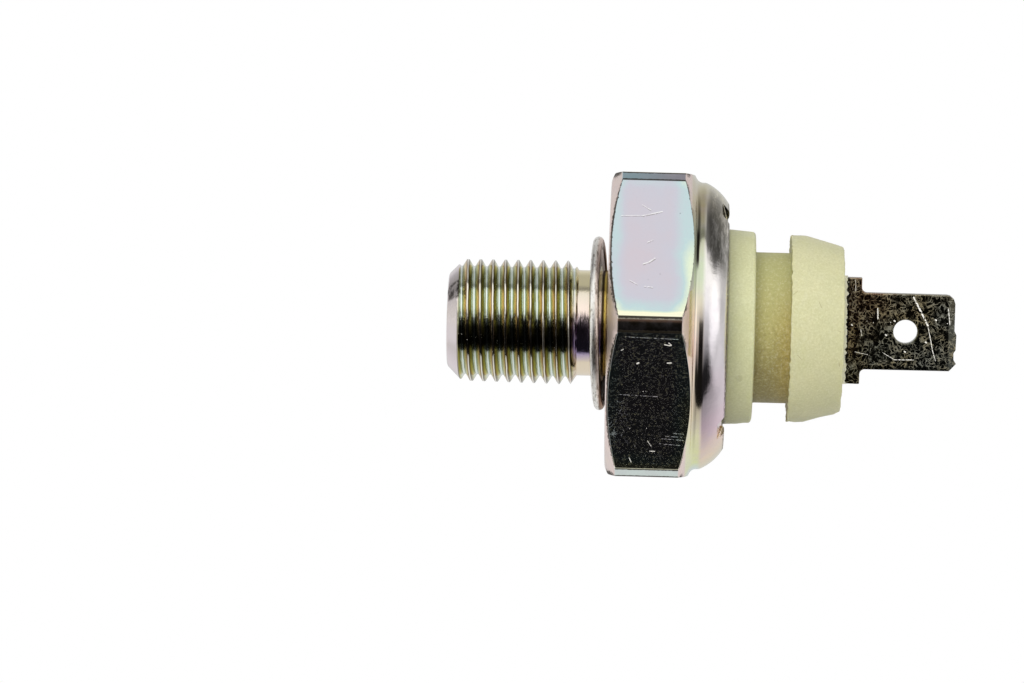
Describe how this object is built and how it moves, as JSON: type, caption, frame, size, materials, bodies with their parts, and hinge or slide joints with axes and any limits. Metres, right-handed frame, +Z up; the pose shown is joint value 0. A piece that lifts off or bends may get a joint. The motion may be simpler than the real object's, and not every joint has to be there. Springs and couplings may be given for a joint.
{
  "type": "oil pressure sender",
  "caption": "Oil pressure switch sender: threaded steel hexagon body, captive washer, crimped nylon cap and one flat tab terminal.",
  "frame": {"origin": "on the surface that the hexagon's flat rests on, under the middle of the sender's length", "axes": "+X along the sender's axis from the thread to the tab, -Y faces one corner of the hexagon and the front of the tab, +Z up from the flat that it rests on"},
  "size_m": [0.0406, 0.027, 0.024],
  "materials": {
    "zinc_steel": "turned steel, zinc plated with an iridescent yellow to lavender passivate",
    "washer_steel": "bright plated sheet, fine grain",
    "plate_steel": "plain stamped steel",
    "spring_steel": "drawn wire",
    "natural_nylon": "natural cream nylon, moulded, slightly translucent look",
    "tinned_brass": "plated strip, dull and finely scratched",
    "contact_brass": "stamped strip",
    "phenolic": "moulded, matt",
    "polyimide_film": "amber film",
    "nitrile_rubber": "matt black"
  },
  "bodies": {
    "sender": {"hex_body": "zinc_steel", "sealing_washer": "washer_steel", "insulator_cap": "natural_nylon", "terminal_blade": "tinned_brass", "spring_seat": "contact_brass", "contact_spring": "spring_steel", "support_ring": "plate_steel", "diaphragm": "polyimide_film", "seal_ring": "nitrile_rubber"},
    "moving_contact": {"plunger": "phenolic", "contact_disc": "contact_brass"}
  },
  "joints": [
    {"name": "contact_lift", "type": "slide", "parent": "sender", "child": "moving_contact", "axis": [1, 0, 0], "range_m": [0, 0.0004], "stiffness_N_per_m": 1270, "springref_m": -0.0016, "deforming": ["contact_spring"]}
  ]
}
